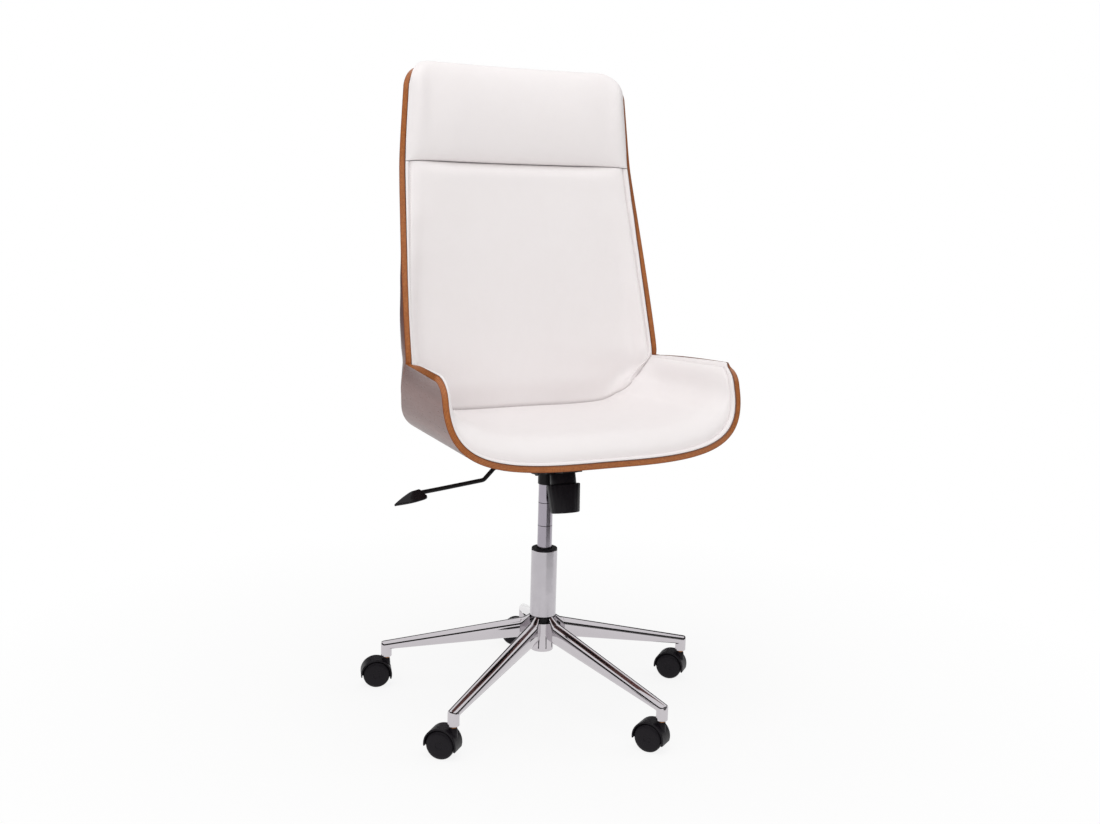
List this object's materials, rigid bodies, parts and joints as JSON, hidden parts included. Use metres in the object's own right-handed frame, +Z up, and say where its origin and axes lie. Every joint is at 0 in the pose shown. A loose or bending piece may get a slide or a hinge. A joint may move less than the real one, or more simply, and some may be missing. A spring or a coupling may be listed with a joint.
{
  "type": "office chair",
  "caption": "High-backed office chair with moulded walnut ply shells, white leatherette pads, headrest roll, tilt mechanism, gas lift and chromed star base on casters.",
  "frame": {"origin": "on the floor, on the axis of the lift column", "axes": "+Z up, the sitter faces -Y, the sitter's left is +X"},
  "size_m": [0.6441, 0.6657, 1.2172],
  "materials": {
    "leatherette": "satin white leatherette with fine grain",
    "walnut_veneer": "satin walnut veneer, laminated ply edge",
    "chrome": "polished",
    "satin_steel": "satin",
    "black_plastic": "fine matt",
    "black_steel": "semi-gloss black",
    "zinc_steel": "zinc plated"
  },
  "bodies": {
    "base": {"base_hub": "chrome", "leg_left": "chrome", "leg_front_left": "chrome", "leg_front_right": "chrome", "leg_right": "chrome", "leg_back": "chrome", "column_tube": "satin_steel", "column_bush": "black_plastic", "thrust_bearing": "zinc_steel", "retaining_clip": "zinc_steel", "caster_stem_left": "zinc_steel", "caster_stem_front_left": "zinc_steel", "caster_stem_front_right": "zinc_steel", "caster_stem_right": "zinc_steel", "caster_stem_back": "zinc_steel"},
    "piston": {"piston_rod": "zinc_steel"},
    "support": {"gas_cylinder": "satin_steel", "tilt_bracket": "black_steel", "spring_shroud": "black_plastic", "tension_bolt": "zinc_steel", "tension_spring": "zinc_steel", "spring_washer": "zinc_steel", "pivot_pin": "black_steel", "pin_clip": "black_steel", "rocker_pin": "zinc_steel"},
    "valve": {"valve_button": "zinc_steel"},
    "rocker": {"lift_rocker": "black_steel"},
    "lever": {"lever_rod": "black_steel", "lever_paddle": "black_plastic"},
    "knob": {"tension_knob": "black_plastic"},
    "seat": {"seat_plate": "black_steel", "seat_shell": "walnut_veneer", "back_shell": "walnut_veneer", "seat_pad": "leatherette", "back_pad": "leatherette", "headrest_pad": "leatherette", "plate_bolt_left": "zinc_steel", "plate_bolt_right": "zinc_steel", "strap_bolt_left": "zinc_steel", "strap_bolt_right": "zinc_steel"},
    "caster_left": {"caster_hood_left": "black_plastic", "caster_axle_left": "zinc_steel"},
    "wheel_left_a": {"wheel_left_a": "black_plastic"},
    "wheel_left_b": {"wheel_left_b": "black_plastic"},
    "caster_front_left": {"caster_hood_front_left": "black_plastic", "caster_axle_front_left": "zinc_steel"},
    "wheel_front_left_a": {"wheel_front_left_a": "black_plastic"},
    "wheel_front_left_b": {"wheel_front_left_b": "black_plastic"},
    "caster_front_right": {"caster_hood_front_right": "black_plastic", "caster_axle_front_right": "zinc_steel"},
    "wheel_front_right_a": {"wheel_front_right_a": "black_plastic"},
    "wheel_front_right_b": {"wheel_front_right_b": "black_plastic"},
    "caster_right": {"caster_hood_right": "black_plastic", "caster_axle_right": "zinc_steel"},
    "wheel_right_a": {"wheel_right_a": "black_plastic"},
    "wheel_right_b": {"wheel_right_b": "black_plastic"},
    "caster_back": {"caster_hood_back": "black_plastic", "caster_axle_back": "zinc_steel"},
    "wheel_back_a": {"wheel_back_a": "black_plastic"},
    "wheel_back_b": {"wheel_back_b": "black_plastic"}
  },
  "joints": [
    {"name": "seat_swivel", "type": "hinge", "parent": "base", "child": "piston", "pos_m": [0, 0, 0.107], "axis": [0, 0, 1], "continuous": true},
    {"name": "seat_height", "type": "slide", "parent": "piston", "child": "support", "axis": [0, 0, 1], "range_m": [-0.1, 0]},
    {"name": "valve_press", "type": "slide", "parent": "support", "child": "valve", "axis": [0, 0, -1], "range_m": [0, 0.0046]},
    {"name": "lever_lift", "type": "hinge", "parent": "support", "child": "rocker", "pos_m": [-0.027, 0, 0.47735], "axis": [0, 1, 0], "range_deg": [0, 8], "stiffness_Nm_per_rad": 10, "springref_deg": -3.44},
    {"name": "lever_pull", "type": "slide", "parent": "rocker", "child": "lever", "axis": [-1, 0, 0], "range_m": [0, 0.012]},
    {"name": "tension_turn", "type": "hinge", "parent": "support", "child": "knob", "pos_m": [0, -0.069, 0.44795], "axis": [0, 0.2079, 0.9781], "range_deg": [-720, 720]},
    {"name": "seat_tilt", "type": "hinge", "parent": "support", "child": "seat", "pos_m": [0, -0.04, 0.47045], "axis": [-1, 0, 0], "range_deg": [0, 14], "stiffness_Nm_per_rad": 150, "springref_deg": -17.19},
    {"name": "caster_swivel_left", "type": "hinge", "parent": "base", "child": "caster_left", "pos_m": [-0.2484, 0.19435, 0.0575], "axis": [0, 0, 1], "continuous": true},
    {"name": "wheel_spin_left_a", "type": "hinge", "parent": "caster_left", "child": "wheel_left_a", "pos_m": [-0.2673, 0.20027, 0.0262], "axis": [-0.299, -0.9542, 0], "continuous": true},
    {"name": "wheel_spin_left_b", "type": "hinge", "parent": "caster_left", "child": "wheel_left_b", "pos_m": [-0.2673, 0.20027, 0.0262], "axis": [-0.299, -0.9542, 0], "continuous": true},
    {"name": "caster_swivel_front_left", "type": "hinge", "parent": "base", "child": "caster_front_left", "pos_m": [-0.2616, -0.17619, 0.0575], "axis": [0, 0, 1], "continuous": true},
    {"name": "wheel_spin_front_left_a", "type": "hinge", "parent": "caster_front_left", "child": "wheel_front_left_a", "pos_m": [-0.2755, -0.16209, 0.0262], "axis": [-0.712, -0.7022, 0], "continuous": true},
    {"name": "wheel_spin_front_left_b", "type": "hinge", "parent": "caster_front_left", "child": "wheel_front_left_b", "pos_m": [-0.2755, -0.16209, 0.0262], "axis": [-0.712, -0.7022, 0], "continuous": true},
    {"name": "caster_swivel_front_right", "type": "hinge", "parent": "base", "child": "caster_front_right", "pos_m": [0.08672, -0.30324, 0.0575], "axis": [0, 0, 1], "continuous": true},
    {"name": "wheel_spin_front_right_a", "type": "hinge", "parent": "caster_front_right", "child": "wheel_front_right_a", "pos_m": [0.07554, -0.28691, 0.0262], "axis": [-0.8251, -0.565, 0], "continuous": true},
    {"name": "wheel_spin_front_right_b", "type": "hinge", "parent": "caster_front_right", "child": "wheel_front_right_b", "pos_m": [0.07554, -0.28691, 0.0262], "axis": [-0.8251, -0.565, 0], "continuous": true},
    {"name": "caster_swivel_right", "type": "hinge", "parent": "base", "child": "caster_right", "pos_m": [0.3152, -0.01123, 0.0575], "axis": [0, 0, 1], "continuous": true},
    {"name": "wheel_spin_right_a", "type": "hinge", "parent": "caster_right", "child": "wheel_right_a", "pos_m": [0.30198, 0.00351, 0.0262], "axis": [-0.7443, -0.6678, 0], "continuous": true},
    {"name": "wheel_spin_right_b", "type": "hinge", "parent": "caster_right", "child": "wheel_right_b", "pos_m": [0.30198, 0.00351, 0.0262], "axis": [-0.7443, -0.6678, 0], "continuous": true},
    {"name": "caster_swivel_back", "type": "hinge", "parent": "base", "child": "caster_back", "pos_m": [0.10808, 0.2963, 0.0575], "axis": [0, 0, 1], "continuous": true},
    {"name": "wheel_spin_back_a", "type": "hinge", "parent": "caster_back", "child": "wheel_back_a", "pos_m": [0.09408, 0.3103, 0.0262], "axis": [-0.7071, -0.7071, 0], "continuous": true},
    {"name": "wheel_spin_back_b", "type": "hinge", "parent": "caster_back", "child": "wheel_back_b", "pos_m": [0.09408, 0.3103, 0.0262], "axis": [-0.7071, -0.7071, 0], "continuous": true}
  ],
  "couplings": [
    {"joint": "valve_press", "follows": "lever_lift", "m_per_rad": 0.0315}
  ]
}
